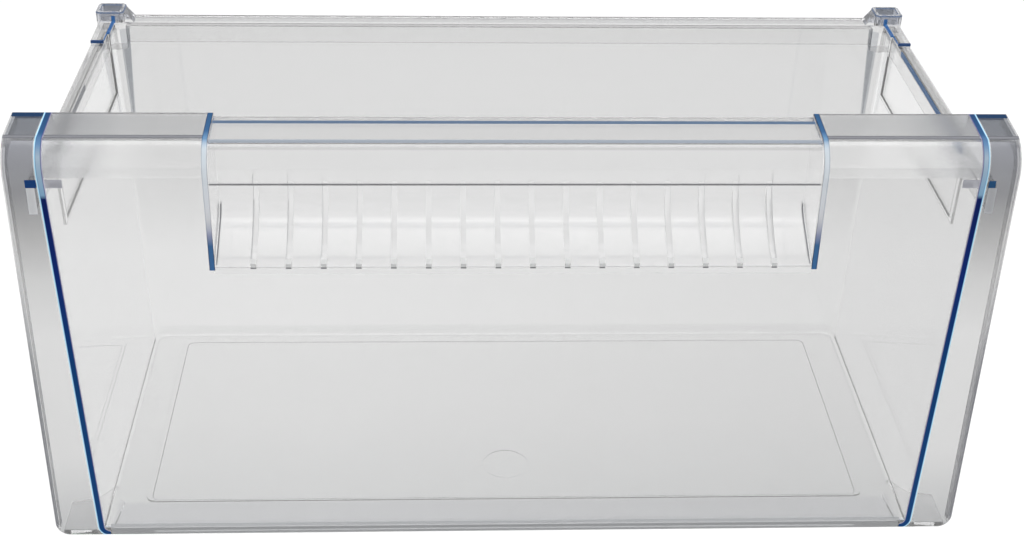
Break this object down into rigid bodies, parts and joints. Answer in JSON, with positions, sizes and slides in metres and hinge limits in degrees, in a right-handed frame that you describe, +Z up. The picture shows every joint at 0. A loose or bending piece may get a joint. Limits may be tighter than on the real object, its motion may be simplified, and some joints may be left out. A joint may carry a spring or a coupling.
{
  "type": "freezer drawer",
  "caption": "Clear plastic freezer drawer: deep open tub hung on turned-down runner rims with stop posts at the back, behind a wide front panel with a ribbed finger pocket under a rolled lip.",
  "frame": {"origin": "middle of the drawer's footprint, on the plane it stands on", "axes": "+X along the front panel, to the right of someone facing it; +Y towards the back of the freezer; +Z up"},
  "size_m": [0.455, 0.199, 0.2194],
  "materials": {
    "clear_polystyrene": "clear gloss"
  },
  "bodies": {
    "root": {"drawer": "clear_polystyrene"}
  },
  "joints": []
}
